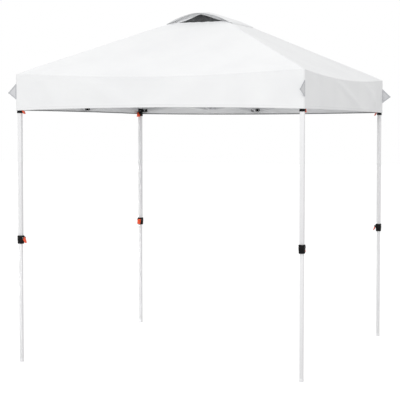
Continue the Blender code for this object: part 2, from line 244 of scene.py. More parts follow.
def fabric(name, light, dark):
    """Coated polyester: plain weave, faint handling marks, soft sheen, stitched seams."""
    kit = Nodes(name)
    patches = kit.noise(3.2, 4.0)
    tone = kit.ramp(patches, "Fac", ((0.30, dark), (0.62, light)))
    stitch = kit.add("Attribute", attribute_name="stitch")
    dots = kit.add("UVMap", uv_map="Metres")
    dash = kit.add("TexWave", bands_direction="X", Scale=STITCH_SCALE)
    kit.link(dots, "UV", dash, "Vector")
    line = kit.add("MapRange", From_Min=0.70, From_Max=0.95)
    kit.link(stitch, "Fac", line, "Value")
    thread = kit.product(line, "Result", dash, "Fac")
    kit.coloured(thread, 0, tone, [c * 0.88 for c in light])
    kit.gloss(patches, (0.25, FABRIC_ROUGH - 0.06), (0.75, FABRIC_ROUGH + 0.06))
    creases = kit.noise(26.0, 5.0, 0.62)
    kit.bump(((weave(kit), 0), (creases, "Fac"), (thread, 0)), 0.35, (0.0003, 0.0016, 0.0008))
    kit.set(Sheen_Weight=0.12, Sheen_Roughness=0.5, Specular_IOR_Level=0.35)
    return kit.mat


def ribbon(name, light, dark):
    """Webbing: ribs across the tape, with painted shade darkening the grooves between them."""
    kit = Nodes(name)
    ribs = kit.add("TexWave", bands_direction="Z", Scale=160.0, Distortion=0.6, Detail=1.0)
    kit.link(kit.where, "Object", ribs, "Vector")
    # painted shade: the tone is darker in the grooves between the ribs
    tone = kit.ramp(ribs, "Fac", ((0.1, dark), (0.8, light)))
    kit.paint(tone)
    fuzz = kit.noise(900.0, 2.0)
    kit.bump(((ribs, "Fac"), (fuzz, "Fac")), 0.5, (0.0006, 0.0003))
    kit.set(Roughness=0.82, Sheen_Weight=0.2)
    return kit.mat


def netting(name):
    """Dark knitted mesh: pale gaps between dark yarns."""
    kit = Nodes(name)
    uv = kit.add("UVMap", uv_map="Metres")
    cells = kit.add("TexVoronoi", feature="DISTANCE_TO_EDGE", Scale=420.0, Randomness=0.15)
    kit.link(uv, "UV", cells, "Vector")
    tone = kit.ramp(cells, "Distance", ((0.10, (0.022, 0.023, 0.025)), (0.42, (0.15, 0.155, 0.16))))
    folds = kit.noise(24.0, 3.0)
    shade = kit.ramp(folds, "Fac", ((0.35, (0.35, 0.35, 0.36)), (0.65, (1.0, 1.0, 1.0))))
    mix = kit.add("Mix", data_type="RGBA", blend_type="MULTIPLY")
    mix.inputs["Factor"].default_value = 0.8
    kit.link(tone, "Color", mix, 6)
    kit.link(shade, "Color", mix, 7)
    kit.link(mix, 2, kit.shader, "Base Color")
    kit.bump(((cells, "Distance"), (folds, "Fac")), 0.6, (0.0004, 0.004))
    kit.set(Roughness=0.7, Sheen_Weight=0.2)
    return kit.mat


def powder_coat(name, light, dark):
    """White powder coat: fine orange peel, slight rubbing along the edges."""
    kit = Nodes(name)
    drift = kit.noise(5.0, 4.0)
    tone = kit.ramp(drift, "Fac", ((0.30, dark), (0.65, light)))
    edge = kit.edges(0.50, 0.62, 1.0)
    scuff = kit.noise(160.0, 4.0, 0.7)
    worn = kit.product(edge, "Color", scuff, "Fac")
    less = kit.add("Math", operation="MULTIPLY")
    kit.link(worn, 0, less, 0)
    less.inputs[1].default_value = 0.35
    kit.coloured(less, 0, tone, (0.55, 0.55, 0.56))
    kit.gloss(scuff, (0.3, 0.30), (0.8, 0.44))
    peel = kit.noise(750.0, 2.0)
    kit.bump(((peel, "Fac"), (drift, "Fac")), 0.2, (0.00008, 0.0003))
    kit.set(Coat_Weight=0.15, Coat_Roughness=0.25)
    return kit.mat


def moulded(name, light, dark, rough, shine):
    """Moulded nylon: spark-eroded grain, faint flow marks, paler rubbed edges."""
    kit = Nodes(name)
    flow = kit.noise(28.0, 5.0, 0.6)
    tone = kit.ramp(flow, "Fac", ((0.30, dark), (0.70, light)))
    edge = kit.edges(0.52, 0.66, 0.5)
    kit.coloured(edge, "Color", tone, [min(1.0, c * 1.2 + 0.006) for c in light])
    kit.gloss(flow, (0.3, rough - 0.07), (0.7, rough + 0.07))
    grain = kit.noise(1400.0, 2.0)
    kit.bump(((grain, "Fac"), (flow, "Fac")), 0.3, (0.00012, 0.0006))
    kit.set(Specular_IOR_Level=shine)
    return kit.mat


def plated(name):
    """Zinc plated rivets: brushed rings of slightly different grey."""
    kit = Nodes(name)
    grain = kit.noise(420.0, 4.0)
    tone = kit.ramp(grain, "Fac", ((0.3, (0.42, 0.43, 0.44)), (0.7, (0.66, 0.67, 0.68))))
    kit.paint(tone)
    kit.gloss(grain, (0.3, 0.26), (0.7, 0.42))
    kit.bump(((grain, "Fac"),), 0.2, (0.0001,))
    kit.set(Metallic=1.0)
    return kit.mat


FABRIC = fabric("coated_polyester", (0.885, 0.890, 0.895), (0.855, 0.860, 0.868))
CAP_FABRIC = fabric("coated_polyester_cap", (0.870, 0.875, 0.882), (0.835, 0.840, 0.850))
WEBBING = ribbon("grey_webbing", (0.66, 0.67, 0.69), (0.40, 0.41, 0.43))
# painted shade: the dark grey strip inside the lower hem
HEM_SHADE_PAINT = ribbon("painted_hem_shade", (0.28, 0.285, 0.29), (0.16, 0.165, 0.17))
TAB_CLOTH = fabric("tab_cloth", (0.68, 0.685, 0.70), (0.62, 0.625, 0.64))
NET = netting("vent_netting")
WHITE = powder_coat("white_powder_coat", (0.94, 0.94, 0.945), (0.91, 0.91, 0.918))
BLACK = moulded("black_nylon_moulded", (0.0060, 0.0060, 0.0065), (0.0035, 0.0035, 0.0038), 0.50, 0.16)
ORANGE = moulded("orange_nylon_moulded", (0.97, 0.125, 0.045), (0.90, 0.095, 0.032), 0.36, 0.30)
ZINC = plated("zinc_plated_steel")
# The truss bars are white powder coat; their grey tone is painted shade from the canopy above them.
TRUSS_PAINTED_SHADE = powder_coat("white_truss_coat_painted_shade", (0.70, 0.705, 0.72), (0.62, 0.625, 0.64))
KIT = (WHITE, BLACK, ORANGE, ZINC)
BAR_KIT = (TRUSS_PAINTED_SHADE, BLACK, ORANGE, ZINC)
W, B, O, Z = range(4)


# ---- mesh building ----
def smooth(mesh, angle):
    mesh.polygons.foreach_set("use_smooth", [True] * len(mesh.polygons))
    mesh.set_sharp_from_angle(angle=radians(angle))


def piece(name, bm, materials, angle=SMOOTH_ANGLE):
    bmesh.ops.recalc_face_normals(bm, faces=bm.faces[:])
    mesh = bpy.data.meshes.new(name)
    bm.to_mesh(mesh)
    bm.free()
    for mat in materials:
        mesh.materials.append(mat)
    smooth(mesh, angle)
    obj = bpy.data.objects.new(name, mesh)
    bpy.context.scene.collection.objects.link(obj)
    return obj


def stand_for(obj, node):
    """The piece takes the place of a CAD node and moves with that node's body."""
    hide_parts(node)
    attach(obj, body_of(frame["nodes"][node])[0])
    return obj


def loft(bm, sections, mat=0, ring=False):
    """Joins sections of equal length; ring joins the last to the first, or else both ends are capped."""
    rows = [[bm.verts.new(point) for point in section] for section in sections]
    count = len(rows[0])
    pairs = list(zip(rows, rows[1:])) + ([(rows[-1], rows[0])] if ring else [])
    for a, b in pairs:
        for i in range(count):
            j = (i + 1) % count
            bm.faces.new((a[i], a[j], b[j], b[i])).material_index = mat
    if not ring:
        bm.faces.new(rows[0][::-1]).material_index = mat
        bm.faces.new(rows[-1]).material_index = mat


def rounded(half_x, half_y, radius, steps=4):
    """A rectangle with round corners, as flat points."""
    radius = min(radius, half_x, half_y)
    points = []
    for sx, sy, first in ((1, 1, 0), (-1, 1, 90), (-1, -1, 180), (1, -1, 270)):
        for k in range(steps + 1):
            a = radians(first + 90 * k / steps)
            points.append((sx * (half_x - radius) + radius * cos(a),
                           sy * (half_y - radius) + radius * sin(a)))
    return points


def frame_at(x=0.0, y=0.0, way=(1, 0)):
    """Local X along way, Y across it, Z up, with its origin on the floor at x, y."""
    return Matrix(((way[0], -way[1], 0, x), (way[1], way[0], 0, y), (0, 0, 1, 0), (0, 0, 0, 1)))


def lay(matrix, flat, height):
    """Flat points at a height along local Z."""
    return [matrix @ Vector((x, y, height)) for x, y in flat]


def block(bm, matrix, half_x, half_y, z0, z1, radius, edge, mat=0, steps=4):
    """A rounded block: the upright corners have radius, the top and bottom edges have edge."""
    sections = []
    for turn, base in ((-1, z0 + edge), (1, z1 - edge)):
        for k in range(4):
            a = radians(90 - 30 * k if turn < 0 else 30 * k)
            inset = edge * (1 - cos(a))
            flat = rounded(half_x - inset, half_y - inset, max(radius - inset, 0.0004), steps)
            sections.append(lay(matrix, flat, base + turn * edge * sin(a)))
    loft(bm, sections, mat)


def sleeve(bm, matrix, stages, bores, radius, edge, mat=0):
    """A square sleeve: stages are (z, half outside) going up, bores (z, half inside) coming down."""
    (low, wide), (high, width) = stages[0], stages[-1]
    outside = [(low, wide - edge), (low + edge * 0.4, wide - edge * 0.3), (low + edge, wide), *stages[1:-1],
               (high - edge, width), (high - edge * 0.4, width - edge * 0.3), (high, width - edge)]
    sections = [lay(matrix, rounded(half, half, radius), z) for z, half in outside]
    sections += [lay(matrix, rounded(half, half, radius * 0.6), z) for z, half in bores]
    loft(bm, sections, mat, ring=True)


def slab(bm, matrix, near, far, outline, inset, edge, mat):
    """An outline carried from near to far along local Z, with bevelled rims: outline takes an inset."""
    levels = ((near, inset), (near + edge, 0.0), (far - edge, 0.0), (far, inset))
    loft(bm, [lay(matrix, outline(inward), depth) for depth, inward in levels], mat)


def lathe(bm, matrix, profile, mat=0, count=20):
    """Turns (radius, height) points about local Z."""
    circle = [(cos(2 * pi * k / count), sin(2 * pi * k / count)) for k in range(count)]
    loft(bm, [lay(matrix, [(r * x, r * y) for x, y in circle], z) for r, z in profile], mat)


def aimed(point, axis):
    """A frame at point whose Z runs along axis."""
    quat = Vector(axis).normalized().to_track_quat("Z", "Y")
    return Matrix.Translation(point) @ quat.to_matrix().to_4x4()


def rivet(bm, point, axis, radius, height):
    """A domed rivet head on a thin washer."""
    profile = ((radius * 1.22, 0.0), (radius * 1.22, 0.0005), (radius, 0.0006),
               (radius * 0.97, height * 0.45), (radius * 0.80, height * 0.78),
               (radius * 0.50, height * 0.95), (radius * 0.15, height))
    lathe(bm, aimed(point, axis), profile, Z, 16)


def screw(bm, point, axis, radius=0.0038, mat=Z):
    """A pan head screw with a sunk cross shown as a hexagonal recess."""
    profile = ((radius, 0.0), (radius, 0.0009), (radius * 0.85, 0.0016), (radius * 0.42, 0.0017),
               (radius * 0.38, 0.0007), (radius * 0.05, 0.0006))
    lathe(bm, aimed(point, axis), profile, mat, 12)


def lug_outline(x0, x1, inset):
    """The side view of a lug: square at its root, round at its tip."""
    radius, half, x1 = 0.0105 - inset, LUG_H - inset, x1 - inset
    points = [(x0, -half), ((x0 + x1 - radius) / 2, -half)]
    for first, centre in ((-90, radius - half), (0, half - radius)):
        for k in range(7):
            a = radians(first + 15 * k)
            points.append((x1 - radius + radius * cos(a), centre + radius * sin(a)))
    return points + [((x0 + x1 - radius) / 2, half), (x0, half)]


def lugs(bm, x, y, z, way, across, start, pivot, mat=B):
    """The two cheeks around a bar's end, with the rivet that the bar turns on."""
    rows = ((way[0], 0, across[0], x), (way[1], 0, across[1], y), (0, 1, 0, z), (0, 0, 0, 1))
    matrix = Matrix(rows)
    for near, far in (CHEEK_IN, CHEEK_OUT):
        slab(bm, matrix, near, far, lambda inset: lug_outline(start - 0.004, pivot + CHEEK_PAST, inset),
             0.0007, 0.0006, mat)
    for depth, sign in ((CHEEK_IN[0], -1), (CHEEK_OUT[1], 1)):
        point = matrix @ Vector((pivot, 0, depth - sign * 0.0001))
        rivet(bm, point, Vector((*across, 0)) * sign, 0.0048, 0.0021)
    # a web between the cheeks' roots stiffens them
    between = (CHEEK_IN[0] + CHEEK_OUT[1]) / 2
    for top in (1, -1):
        web = matrix @ Matrix.Translation((start + 0.0045, top * (LUG_H - 0.0022), between))
        half = (CHEEK_OUT[1] - CHEEK_IN[0]) / 2 - 0.0004
        block(bm, web, 0.0085, 0.0016, -half, half, 0.0006, 0.0004, mat, 1)


def cut(obj, cutters):
    """Subtracts closed meshes from a piece for good."""
    for number, mesh in enumerate(cutters):
        other = bpy.data.objects.new(f"cut_{number}", mesh)
        bpy.context.scene.collection.objects.link(other)
        mod = obj.modifiers.new("cut", "BOOLEAN")
        mod.object, mod.operation, mod.solver = other, "DIFFERENCE", "EXACT"
        bpy.context.view_layer.update()
        graph = bpy.context.evaluated_depsgraph_get()
        fresh = bpy.data.meshes.new_from_object(obj.evaluated_get(graph))
        obj.modifiers.clear()
        obj.data = fresh
        bpy.data.objects.remove(other)
    smooth(obj.data, SMOOTH_ANGLE)


def drill(point, axis, radius, depth):
    """A closed round cutter centred on point."""
    bm = bmesh.new()
    lathe(bm, aimed(point, axis), ((radius, -depth), (radius, depth)), 0, 20)
    bmesh.ops.recalc_face_normals(bm, faces=bm.faces[:])
    mesh = bpy.data.meshes.new("drill")
    bm.to_mesh(mesh)
    bm.free()
    return mesh


def times(way, factor):
    return (way[0] * factor, way[1] * factor)


def left_of(way):
    return (-way[1], way[0])


# ---- scissor bars ----
def fitting_outline(end, sign, inset):
    """The side view of the fitting on a bar's end: round past the pivot, with cut corners towards the bar."""
    radius = BAR_H / 2 - inset
    flat = []
    for k in range(13):
        a = radians(90 + 15 * k)
        flat.append((end + sign * radius * cos(a), radius * sin(a)))
    near, far = end + sign * (0.027 - inset), end + sign * (0.031 - inset)
    return flat + [(near, -radius), (far, -radius + 0.004), (far, radius - 0.004), (near, radius)]


def bar(node, point, way, slope, first, last, at_leg):
    """A rounded steel tube with a moulded fitting on each end and a rivet where it crosses the other bar."""
    run = Vector((*way, 0)) * cos(BAR_ANGLE) + Vector((0, 0, 1)) * sin(BAR_ANGLE) * slope
    side = Vector((*left_of(way), 0))
    up = side.cross(run) * -1
    out = run.cross(up)
    matrix = Matrix((run, up, out)).transposed().to_4x4()
    matrix.translation = Vector(point) + side * BAR_OFFSET * slope
    along = matrix @ Matrix(((0, 0, 1, 0), (1, 0, 0, 0), (0, 1, 0, 0), (0, 0, 0, 1)))
    bm = bmesh.new()
    block(bm, along, BAR_H / 2 - 0.0008, BAR_T / 2 - 0.0005, first + 0.024, last - 0.024, 0.0030, 0.0006, W)
    for end, sign in ((first, 1), (last, -1)):
        slab(bm, matrix, -BAR_T / 2, BAR_T / 2, lambda inset: fitting_outline(end, sign, inset),
             0.0010, 0.0010, B if at_leg and end == last else W)
    centre = (first + last) / 2
    # local Z of the rising bar points away from the other bar or towards it
    inner = -1 if side.dot(out) * slope > 0 else 1
    rivet(bm, matrix @ Vector((centre, 0, -inner * (BAR_T / 2 - 0.0006))), out * -inner, 0.0055, 0.0026)
    lathe(bm, aimed(matrix @ Vector((centre, 0, inner * (BAR_T / 2 - 0.0007))), out * inner),
          ((0.0085, 0.0), (0.0085, 0.0011), (0.0078, 0.0015)), B, 20)
    for spot in (first + 0.030, last - 0.030):
        place = spot + (0.006 if spot < centre else -0.006)
        rivet(bm, matrix @ Vector((place, 0, -inner * (BAR_T / 2 - 0.0006))), out * -inner, 0.0026, 0.0010)
    return stand_for(piece(node + "_tube", bm, BAR_KIT), node)


def scissor(nodes, axis, way, inner_pivot, falling_first, at_leg):
    near = Vector((axis[0] + way[0] * inner_pivot, axis[1] + way[1] * inner_pivot, 0))
    mid = near + Vector((*way, 0)) * REACH / 2 + Vector((0, 0, (UPPER_Z + LOWER_Z) / 2))
    slope = -1 if falling_first else 1
    height = UPPER_Z if falling_first else LOWER_Z
    bar(nodes[0], near + Vector((0, 0, height)), way, slope, 0.0, BAR_LENGTH, at_leg)
    bar(nodes[1], mid, way, -slope, -BAR_LENGTH / 2, BAR_LENGTH / 2, at_leg)


def scissors():
    for side, way in SIDES.items():
        scissor((f"inner_bar_a_{side}", f"inner_bar_b_{side}"), (0, 0), way, CENTRE_PIVOT, True, False)
        for corner, along in REACHES[side]:
            nodes = (f"side_bar_a_{side}_{corner}", f"side_bar_b_{side}_{corner}")
            scissor(nodes, times(way, HALF), along, HUB_PIVOT, False, True)


# ---- hubs ----
def hub(node, x, y, half, arms, z, under, mat=B):
    bm = bmesh.new()
    base = frame_at(x, y)
    block(bm, base, half, half, z - LUG_H, z + LUG_H, 0.004, 0.0016, mat)
    ring = half * 0.62
    for sign in (1, -1):
        face = aimed((x, y, z + sign * (LUG_H - 0.0004)), (0, 0, sign))
        if sign * under < 0 or half < 0.02:
            lathe(bm, face, ((ring, 0.0), (ring, 0.0011), (ring * 0.86, 0.0015), (ring * 0.80, 0.0006),
                             (ring * 0.2, 0.0005)), mat, 24)
            screw(bm, face @ Vector((0, 0, 0.0004)), (0, 0, sign), min(0.0045, ring * 0.45))
    for way, across, pivot in arms:
        lugs(bm, x, y, z, way, across, half, pivot, mat)
    return stand_for(piece(node + "_moulding", bm, BAR_KIT), node)


def hubs():
    for level, z in (("upper", UPPER_Z), ("lower", LOWER_Z)):
        rising = 1 if level == "lower" else -1
        arms = [(w, times(left_of(w), rising), CENTRE_PIVOT) for w in SIDES.values()]
        # The lower centre hub takes the truss colour, grey with painted shade.
        hub(f"centre_hub_{level}", 0, 0, CENTRE_HUB_HALF, arms, z, -rising, B if level == "upper" else W)
        for side, way in SIDES.items():
            arms = [(times(way, -1), times(left_of(way), -rising), HUB_PIVOT)]
            arms += [(w, times(left_of(w), rising), HUB_PIVOT) for _, w in REACHES[side]]
            hub(f"side_hub_{level}_{side}", way[0] * HALF, way[1] * HALF, SIDE_HUB_HALF, arms, z, 0)


# ---- legs ----
def leg_arms(corner, rising):
    ways = [along for pairs in REACHES.values() for name, along in pairs if name == corner]
    return [(times(along, -1), times(left_of(along), rising)) for along in ways]


def outer_leg(corner, x, y):
    """The outer tube and the moulded bracket on its top."""
    base, node, bm = frame_at(x, y), f"leg_upper_{corner}", bmesh.new()
    half, bore = OUTER / 2, OUTER_BORE / 2
    sleeve(bm, base, ((TUBE_Z[0], half), (TUBE_Z[1] - 0.012, half)),
           ((TUBE_Z[1] - 0.012, bore), (TUBE_Z[0], bore)), 0.0030, 0.0004, W)
    top = TUBE_Z[1]
    sleeve(bm, base, ((BRACKET_LOW, BRACKET_HALF - 0.0004), (BRACKET_LOW + 0.008, BRACKET_HALF),
                      (BRACKET_LOW + 0.0085, BRACKET_HALF - 0.0010), (top - 0.0165, BRACKET_HALF - 0.0010),
                      (top - 0.016, BRACKET_HALF), (top - 0.006, BRACKET_HALF)),
           ((top - 0.006, half + 0.0004), (BRACKET_LOW, half + 0.0004)), 0.0045, 0.0012, B)
    block(bm, base, BRACKET_HALF, BRACKET_HALF, top - 0.0085, top, 0.0050, 0.0030, B)
    for way, across in leg_arms(corner, 1):
        lugs(bm, x, y, UPPER_Z, way, across, BRACKET_HALF, LEG_PIVOT)
        out = times(way, -1)
        face_x, face_y = x + out[0] * (BRACKET_HALF - 0.0012), y + out[1] * (BRACKET_HALF - 0.0012)
        for height in (top - 0.028, BRACKET_LOW + 0.020):
            screw(bm, Vector((face_x, face_y, height)), (*out, 0))
    return stand_for(piece(f"outer_tube_{corner}", bm, KIT), node)


def inner_leg(corner, x, y):
    """The inner tube with its locking holes and its closed, slightly wider foot."""
    base, bm = frame_at(x, y), bmesh.new()
    half, bore = INNER / 2, INNER_BORE / 2
    sleeve(bm, base, ((0.010, half), (INNER_Z[1], half)), ((INNER_Z[1], bore), (0.010, bore)),
           0.0026, 0.0004, W)
    obj = piece(f"inner_tube_{corner}", bm, KIT)
    way = FACES[corner]
    holes = []
    for height in LOCK_HOLES:
        spot = (x + way[0] * half, y + way[1] * half, height)
        holes.append(drill(spot, (*way, 0), LOCK_HOLE_RADIUS, 0.006))
    cut(obj, holes)
    bm = bmesh.new()
    bm.from_mesh(obj.data)
    block(bm, base, FOOT / 2, FOOT / 2, 0.0, FOOT_H, 0.0034, 0.0016, W)
    bm.to_mesh(obj.data)
    bm.free()
    obj.data.set_sharp_from_angle(angle=radians(SMOOTH_ANGLE))
    return stand_for(obj, f"leg_lower_{corner}")


def clamp(corner, x, y):
    """The moulded clamp at the joint of the two tubes: a wider collar over a slimmer skirt."""
    way = FACES[corner]
    base, bm = frame_at(x, y, way), bmesh.new()
    low, high = CLAMP_Z
    stages = ((low, CLAMP_HALF - 0.0022), (low + 0.006, CLAMP_HALF - 0.0016),
              (low + 0.022, CLAMP_HALF - 0.0014), (low + 0.027, CLAMP_HALF - 0.0004),
              (high - 0.016, CLAMP_HALF - 0.0002), (high - 0.0145, CLAMP_HALF - 0.0011),
              (high - 0.0125, CLAMP_HALF - 0.0011), (high - 0.011, CLAMP_HALF), (high, CLAMP_HALF))
    bores = ((high, OUTER / 2 + 0.0003), (CLAMP_STEP, OUTER / 2 + 0.0003),
             (CLAMP_STEP, INNER / 2 + 0.0004), (low, INNER / 2 + 0.0004))
    sleeve(bm, base, stages, bores, 0.0055, 0.0016, B)
    for sign in (-1, 1):
        # the lugs on either side of the lever, with the ends of its pin
        flank = base @ FLIPPED
        sections = []
        for past, inset in ((0.0006, 0.0006), (0.0012, 0.0), (0.0030, 0.0), (0.0036, 0.0006)):
            depth = sign * (LEVER_HALF_W + past)
            flat = []
            for px, pz in ((0.0190, 1.0045), (0.0300, 1.0065), (0.0345, 1.0110), (0.0355, 1.0180),
                           (0.0335, 1.0245), (0.0290, 1.0272), (0.0190, 1.0285)):
                cx, cz = 0.026, 1.0165
                flat.append((cx + (px - cx) * (1 - inset * 60), cz + (pz - cz) * (1 - inset * 60)))
            sections.append(lay(flank, flat, depth))
        loft(bm, sections, B)
        end = base @ Vector((LEVER_PIVOT[0], sign * (LEVER_HALF_W + 0.0035), LEVER_PIVOT[1]))
        out = base.to_3x3() @ Vector((0, sign, 0))
        rivet(bm, end, out, 0.0024, 0.0011)
    for sign in (-1, 1):
        # shallow ribs down the two plain flanks
        for k in (-1, 0, 1):
            rib = base @ Matrix.Translation((k * 0.0095, sign * (CLAMP_HALF - 0.0018), 0))
            block(bm, rib, 0.0014, 0.0012, low + 0.004, low + 0.024, 0.0006, 0.0005, B, 1)
    back = base @ Vector((-CLAMP_HALF + 0.0006, 0, high - 0.030))
    screw(bm, back, base.to_3x3() @ Vector((-1, 0, 0)), 0.0038, B)
    return stand_for(piece(f"clamp_body_{corner}", bm, KIT), f"height_clamp_{corner}")


def slider(corner, x, y):
    """The moulded runner on the outer tube, with its two pairs of cheeks."""
    base, bm = frame_at(x, y), bmesh.new()
    low, high = SLIDER_Z
    stages = ((low, SLIDER_HALF - 0.0004), (low + 0.009, SLIDER_HALF),
              (low + 0.0095, SLIDER_HALF - 0.0011), (high - 0.0100, SLIDER_HALF - 0.0011),
              (high - 0.0095, SLIDER_HALF), (high, SLIDER_HALF - 0.0002))
    sleeve(bm, base, stages, ((high, SLIDER_BORE / 2), (low, SLIDER_BORE / 2)), 0.0045, 0.0012, B)
    for way, across in leg_arms(corner, -1):
        lugs(bm, x, y, LOWER_Z, way, across, SLIDER_HALF, LEG_PIVOT)
        out = times(way, -1)
        for k in (-1, 0, 1):
            spot = frame_at(x + out[0] * (SLIDER_HALF - 0.0014), y + out[1] * (SLIDER_HALF - 0.0014), out)
            rib = spot @ Matrix.Translation((0, k * 0.009, 0))
            block(bm, rib, 0.0010, 0.0014, low + 0.013, high - 0.013, 0.0005, 0.0005, B, 1)
    return stand_for(piece(f"runner_{corner}", bm, KIT), f"slider_{corner}")


def softened(outline, rounds=2):
    """Cuts the corners of a closed outline, which stays inside the old one."""
    points = [Vector(p) for p in outline]
    for _ in range(rounds):
        shorter = []
        for a, b in zip(points, points[1:] + points[:1]):
            shorter += [a.lerp(b, 0.22), a.lerp(b, 0.78)]
        points = shorter
    return points


def lever(node, name, corner, x, y, outline, half_w, aside, ribs):
    """A pull lever with round edges and finger ridges near its free end."""
    way = FACES[corner]
    base = frame_at(x, y, way) @ Matrix.Translation((0, -aside, 0))
    flank = base @ FLIPPED
    bm = bmesh.new()
    outer = softened(outline)
    centre = sum(outer, Vector((0, 0))) / len(outer)
    sections = []
    for depth, keep in ((-1.0, 0.86), (-0.95, 0.94), (-0.86, 1.0), (0.86, 1.0), (0.95, 0.94), (1.0, 0.86)):
        flat = [centre + (p - centre) * keep for p in outer]
        sections.append(lay(flank, flat, depth * half_w))
    loft(bm, sections, O)
    a, b = Vector(outline[2]), Vector(outline[3])
    slope = (b - a).normalized()
    for k in range(ribs):
        spot = a.lerp(b, 0.52 + 0.12 * k)
        tilt = atan2(slope.x, -slope.y)
        rib = base @ Matrix.Translation((spot.x - 0.0006, 0, spot.y)) @ Matrix.Rotation(-tilt, 4, "Y")
        block(bm, rib, 0.0010, half_w * 0.66, -0.0007, 0.0007, 0.0005, 0.0004, O, 1)
    if aside:
        # the latch widens below the cheeks into a finger paddle as wide as the runner
        mid = a.lerp(b, 0.76)
        paddle = base @ Matrix.Translation((mid.x - 0.0022, -0.0025 + aside, mid.y))
        paddle = paddle @ Matrix.Rotation(-tilt, 4, "Y")
        block(bm, paddle, 0.0020, 0.0155, -0.0125, 0.0120, 0.0018, 0.0012, O, 3)
    return stand_for(piece(name, bm, KIT), node)


def legs():
    for corner, (sx, sy) in CORNERS.items():
        x, y = sx * HALF, sy * HALF
        outer_leg(corner, x, y)
        inner_leg(corner, x, y)
        clamp(corner, x, y)
        slider(corner, x, y)
        lever(f"clamp_lever_{corner}", f"pull_lever_{corner}", corner, x, y, LEVER_OUTLINE,
              LEVER_HALF_W, 0.0, 3)
        lever(f"slider_latch_{corner}", f"pull_latch_{corner}", corner, x, y, LATCH_OUTLINE,
              LATCH_HALF_W, LATCH_ASIDE, 2)


def peak_pole():
    """The pole that lifts the top: a socket, a tube and a domed head."""
    low, high = POLE_Z
    bm, base = bmesh.new(), frame_at()
    lathe(bm, base, ((0.0125, low + 0.030), (0.0125, high - 0.028)), W, 32)
    lathe(bm, base, ((0.0200, low), (0.0200, low + 0.006), (0.0188, low + 0.010), (0.0165, low + 0.030),
                     (0.0158, low + 0.040), (0.0150, low + 0.0415), (0.0128, low + 0.0418)), B, 32)
    lathe(bm, base, ((0.0130, high - 0.034), (0.0150, high - 0.033), (0.0160, high - 0.026),
                     (0.0236, high - 0.019), (0.0256, high - 0.0125), (0.0222, high - 0.006),
                     (0.0150, high - 0.0022), (0.0070, high - 0.0006), (0.0010, high)), B, 32)
    for k in range(4):
        a = radians(45 + 90 * k)
        spot = Vector((0.0176 * cos(a), 0.0176 * sin(a), low + 0.019))
        screw(bm, spot, (cos(a), sin(a), 0), 0.0026)
    return stand_for(piece("peak_pole_tube", bm, KIT), "peak_pole")


# ---- fabric ----
def unit(value):
    return min(max(value, 0.0), 1.0)


def smoothstep(value):
    value = unit(value)
    return value * value * (3 - 2 * value)


def ring_point(reach, x, radius):
    """A point of the front side of a square ring whose corners are rounded, and how far along it x is."""
    gap = reach - abs(x)
    if radius <= 0 or gap >= radius:
        return x, -reach
    a = radians(45) * (1 - gap / radius)
    sign = 1 if x > 0 else -1
    return sign * (reach - radius + radius * sin(a)), -(reach - radius + radius * cos(a))


def slack(x, y):
    """Height of the roof's soft unevenness: tension folds from the corners and peak, and a slow drift."""
    height = 0.0022 * noise.noise(Vector((x * 2.3, y * 2.3, 3.1)))
    for sx in (-1, 1):
        for sy in (-1, 1):
            dx, dy = EAVE - x * sx, EAVE - y * sy
            far = hypot(dx, dy)
            turn = atan2(dy, dx) - pi / 4
            fade = exp(-far / 0.42) * smoothstep(far / 0.16)
            wander = 2.2 * noise.noise(Vector((sx * 3.0, sy * 3.0, far)))
            height += 0.0042 * fade * cos(turn * 17 + wander)
    far = hypot(x, y)
    turn = atan2(y, x)
    height += 0.0009 * exp(-max(far - VENT, 0) / 0.35) * cos(turn * 20 + 1.3 * sin(turn * 3))
    return height


def roof_height(reach, x, y):
    u = (reach - VENT) / (EAVE - VENT)
    t = min(abs(x), abs(y)) / max(reach, 1e-6)
    hip = VENT_Z + (EAVE_Z - VENT_Z) * u
    return hip - EAVE_SAG * max(u, 0.0) ** 1.3 * (1 - t * t) + slack(x, y) - 0.0015


def seam_lift(distance, width=0.011, height=0.0013):
    """A folded seam stands proud for its width on both sides of its line."""
    return height * (1 - smoothstep((distance - width + 0.003) / 0.003))


COLUMN_EDGES = (0.0, 0.004, 0.0085, 0.0110, 0.0145, 0.030, 0.055)


def columns(reach, count, edges=COLUMN_EDGES, full=0.4):
    """Places across one panel from hip to hip: a few fixed ones by each hip, and an even spread between."""
    edges = [d * min(1.0, reach / full) for d in edges]
    inner = reach - edges[-1]
    spread = [-inner + 2 * inner * k / count for k in range(1, count)]
    return [-(reach - d) for d in edges] + spread + [reach - d for d in reversed(edges)]


def roof_rows():
    """Distances out from the centre: close together at the vent's hem and at the eave's seam."""
    rows = [VENT, VENT + 0.003, VENT + 0.014, VENT + 0.017]
    rows += [VENT + 0.017 + (EAVE - 0.030 - VENT - 0.017) * k / 44 for k in range(1, 45)]
    return rows + [EAVE - 0.016, EAVE - 0.0125, EAVE - 0.0095, EAVE - 0.004]


# soft creases of each valance: (x at the eave, x at the hem, height, width), front, right, back, left
CREASES = (
    ((-0.62, -0.30, 0.0050, 0.11), (0.35, 0.10, 0.0045, 0.13),
     (-1.02, -0.86, 0.0050, 0.06), (1.05, 0.84, 0.0055, 0.07)),
    ((-0.42, 0.52, 0.0100, 0.105), (0.52, 1.10, 0.0095, 0.085),
     (-1.02, -0.72, 0.0060, 0.09), (0.98, 0.80, 0.0060, 0.06)),
    ((-0.70, -0.15, 0.0085, 0.10), (0.42, 0.05, 0.0065, 0.12),
     (1.06, 0.84, 0.0065, 0.07), (-1.04, -0.88, 0.0050, 0.06)),
    ((0.60, 0.12, 0.0085, 0.10), (-0.45, -0.95, 0.0080, 0.09),
     (1.04, 0.86, 0.0060, 0.07), (-0.10, 0.05, 0.0045, 0.12)),
)


